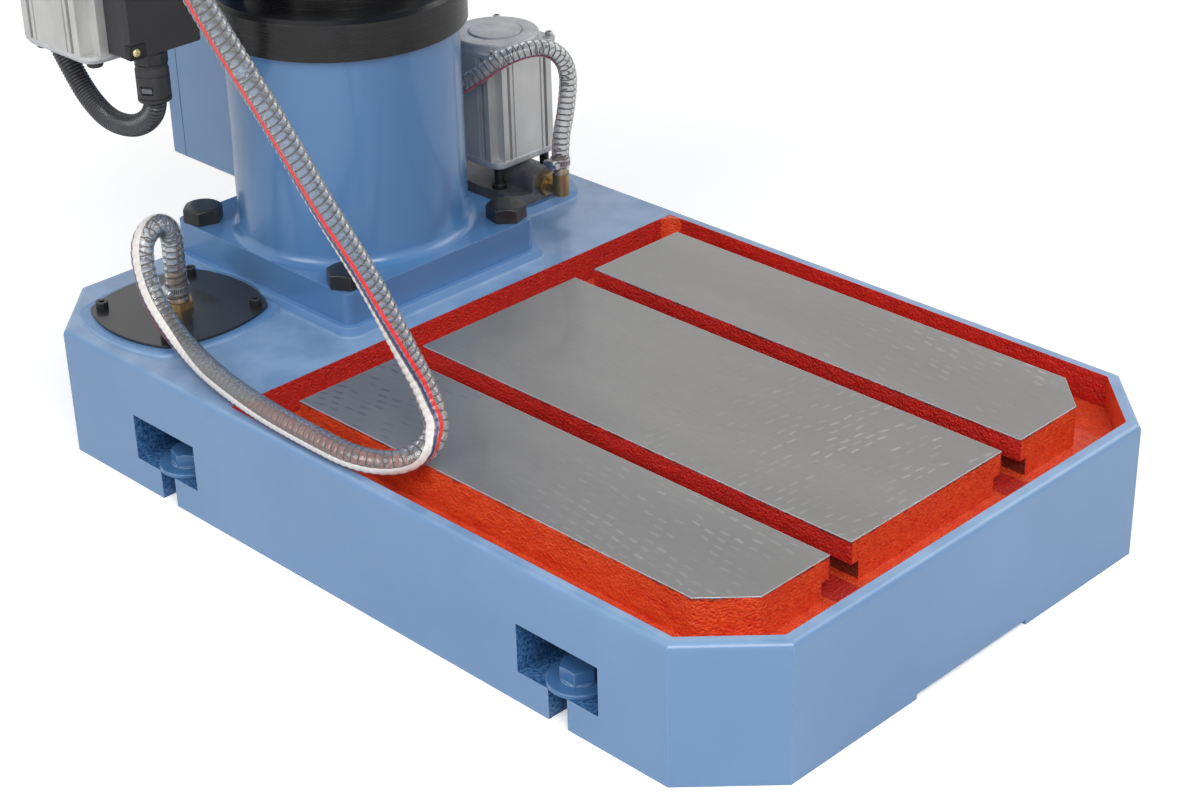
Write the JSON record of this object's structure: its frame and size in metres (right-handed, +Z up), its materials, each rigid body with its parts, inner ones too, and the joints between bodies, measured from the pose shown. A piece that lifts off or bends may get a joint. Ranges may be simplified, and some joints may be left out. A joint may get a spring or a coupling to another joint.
{
  "type": "drill press",
  "caption": "Floor-standing gear-head drill press: round column on a cast base with coolant trough, motor-lifted cross table, quill feed levers, coolant pump and electric cabinet.",
  "frame": {"origin": "middle of the base's underside, on the floor", "axes": "+Z up, -Y to the operator at the front, +X to the operator's right"},
  "size_m": [0.9553, 1.0483, 2.148],
  "materials": {
    "blue_paint": "gloss enamel, slightly orange-peeled",
    "black_paint": "gloss black enamel",
    "black_steel": "black oxide",
    "steel": "turned and ground",
    "zinc_steel": "zinc plated",
    "ground_iron": "ground cast iron",
    "motor_grey": "bare extrusion",
    "motor_blue": "gloss enamel",
    "pump_iron": "die cast",
    "brass": "cast and turned",
    "pvc": "clear hose with a steel wire helix",
    "black_plastic": "moulded",
    "red_plastic": "moulded",
    "green_plastic": "moulded",
    "grey_plastic": "moulded"
  },
  "bodies": {
    "base": {"base_casting": "blue_paint", "anchor_bolts": "blue_paint", "column_foot": "blue_paint", "column_foot_bolts": "black_steel", "column_tube": "steel", "rack_collars": "black_paint", "lift_rack": "steel", "tank_cover": "black_steel", "tank_cover_screws": "black_steel", "tank_fitting": "brass", "return_hose_lower": "pvc", "hose_clamps": "zinc_steel", "pump_body": "pump_iron", "pump_studs": "zinc_steel", "pump_motor": "motor_grey", "pump_cap": "motor_grey", "pump_elbow": "brass", "delivery_hose": "pvc", "cabinet_box": "blue_paint", "switchgear": "grey_plastic", "head_casting": "blue_paint", "head_cover": "blue_paint", "main_motor": "motor_blue", "motor_fan_cover": "black_paint", "control_panel": "grey_plastic", "coolant_nozzle": "brass"},
    "impeller": {"pump_impeller": "black_plastic"},
    "door": {"cabinet_door": "blue_paint"},
    "switch": {"main_switch": "black_plastic"},
    "bracket": {"table_bracket": "blue_paint", "lift_gearbox": "blue_paint", "lift_motor": "motor_grey", "lift_motor_cap": "motor_grey", "terminal_box": "black_plastic", "terminal_lid": "black_plastic", "conduit_glands": "black_plastic", "lift_conduit": "black_plastic", "return_hose_middle": "pvc"},
    "clamp": {"clamp_lever": "steel"},
    "lift_gear": {"lift_pinion": "steel"},
    "saddle": {"saddle": "ground_iron", "feed_nuts": "brass", "return_hose_upper": "pvc"},
    "table": {"cross_table": "ground_iron", "table_drain": "zinc_steel"},
    "x_wheel": {"x_handwheel": "zinc_steel", "x_grip": "black_plastic"},
    "y_wheel": {"y_handwheel": "zinc_steel", "y_grip": "black_plastic"},
    "feed": {"feed_hub": "zinc_steel", "feed_knobs": "black_plastic"},
    "quill": {"quill": "steel"},
    "spindle": {"spindle": "steel"},
    "gear": {"spindle_gear": "steel"},
    "motor_gear": {"motor_pinion": "steel"},
    "lever_left": {"speed_lever_left": "zinc_steel"},
    "lever_right": {"speed_lever_right": "zinc_steel"},
    "start": {"start_button": "green_plastic"},
    "stop": {"stop_button": "red_plastic"},
    "emergency": {"emergency_stop": "red_plastic"}
  },
  "joints": [
    {"name": "table_lift", "type": "slide", "parent": "base", "child": "bracket", "axis": [0, 0, 1], "range_m": [-0.045, 0.25], "deforming": ["return_hose_lower"]},
    {"name": "lift_pinion_turn", "type": "hinge", "parent": "bracket", "child": "lift_gear", "pos_m": [-0.123, 0.315, 0.64], "axis": [0, 1, 0], "range_deg": [-93, 513]},
    {"name": "clamp_turn", "type": "hinge", "parent": "bracket", "child": "clamp", "pos_m": [0.145, 0.2847, 0.62], "axis": [0, 1, 0], "range_deg": [-20, 60]},
    {"name": "y_wheel_turn", "type": "hinge", "parent": "bracket", "child": "y_wheel", "pos_m": [0, -0.255, 0.73], "axis": [0, 1, 0], "range_deg": [-6121, 6121]},
    {"name": "saddle_slide", "type": "slide", "parent": "bracket", "child": "saddle", "axis": [0, 1, 0], "range_m": [-0.085, 0.085], "deforming": ["return_hose_middle"]},
    {"name": "table_slide", "type": "slide", "parent": "saddle", "child": "table", "axis": [1, 0, 0], "range_m": [-0.2, 0.2], "deforming": ["return_hose_upper"]},
    {"name": "x_wheel_turn", "type": "hinge", "parent": "table", "child": "x_wheel", "pos_m": [0.418, -0.035, 0.8063], "axis": [1, 0, 0], "range_deg": [-14401, 14401]},
    {"name": "feed_turn", "type": "hinge", "parent": "base", "child": "feed", "pos_m": [0.15, 0.03, 1.505], "axis": [1, 0, 0], "range_deg": [0, 458], "stiffness_Nm_per_rad": 1, "springref_deg": -372.42},
    {"name": "quill_slide", "type": "slide", "parent": "base", "child": "quill", "axis": [0, 0, -1], "range_m": [0, 0.16]},
    {"name": "gear_turn", "type": "hinge", "parent": "base", "child": "gear", "pos_m": [0, -0.035, 1.75], "axis": [0, 0, 1], "continuous": true},
    {"name": "motor_turn", "type": "hinge", "parent": "base", "child": "motor_gear", "pos_m": [0, 0.091, 1.75], "axis": [0, 0, 1], "continuous": true},
    {"name": "spindle_turn", "type": "hinge", "parent": "quill", "child": "spindle", "pos_m": [0, -0.035, 1.45], "axis": [0, 0, 1], "continuous": true},
    {"name": "impeller_turn", "type": "hinge", "parent": "base", "child": "impeller", "pos_m": [0.218, 0.333, 0.1], "axis": [0, 0, 1], "continuous": true},
    {"name": "door_hinge", "type": "hinge", "parent": "base", "child": "door", "pos_m": [0.2475, 0.5455, 0.394], "axis": [0, 0, -1], "range_deg": [0, 110]},
    {"name": "main_switch_turn", "type": "hinge", "parent": "door", "child": "switch", "pos_m": [0.1, 0.5633, 0.489], "axis": [0, 1, 0], "range_deg": [0, 90]},
    {"name": "speed_left_turn", "type": "hinge", "parent": "base", "child": "lever_left", "pos_m": [-0.075, -0.17, 1.61], "axis": [0, 1, 0], "range_deg": [-40, 40]},
    {"name": "speed_right_turn", "type": "hinge", "parent": "base", "child": "lever_right", "pos_m": [0.075, -0.17, 1.61], "axis": [0, 1, 0], "range_deg": [-40, 40]},
    {"name": "start_press", "type": "slide", "parent": "base", "child": "start", "axis": [0, 1, 0], "range_m": [0, 0.004], "stiffness_N_per_m": 900, "springref_m": -0.002},
    {"name": "stop_press", "type": "slide", "parent": "base", "child": "stop", "axis": [0, 1, 0], "range_m": [0, 0.004], "stiffness_N_per_m": 900, "springref_m": -0.002},
    {"name": "emergency_press", "type": "slide", "parent": "base", "child": "emergency", "axis": [0, 1, 0], "range_m": [0, 0.004], "stiffness_N_per_m": 900, "springref_m": -0.002}
  ],
  "couplings": [
    {"joint": "lift_pinion_turn", "follows": "table_lift", "rad_per_m": 35.714},
    {"joint": "y_wheel_turn", "follows": "saddle_slide", "rad_per_m": 1256.6},
    {"joint": "x_wheel_turn", "follows": "table_slide", "rad_per_m": 1256.6},
    {"joint": "quill_slide", "follows": "feed_turn", "m_per_rad": 0.02},
    {"joint": "motor_turn", "follows": "gear_turn", "ratio": -2},
    {"joint": "spindle_turn", "follows": "gear_turn", "ratio": 1}
  ]
}
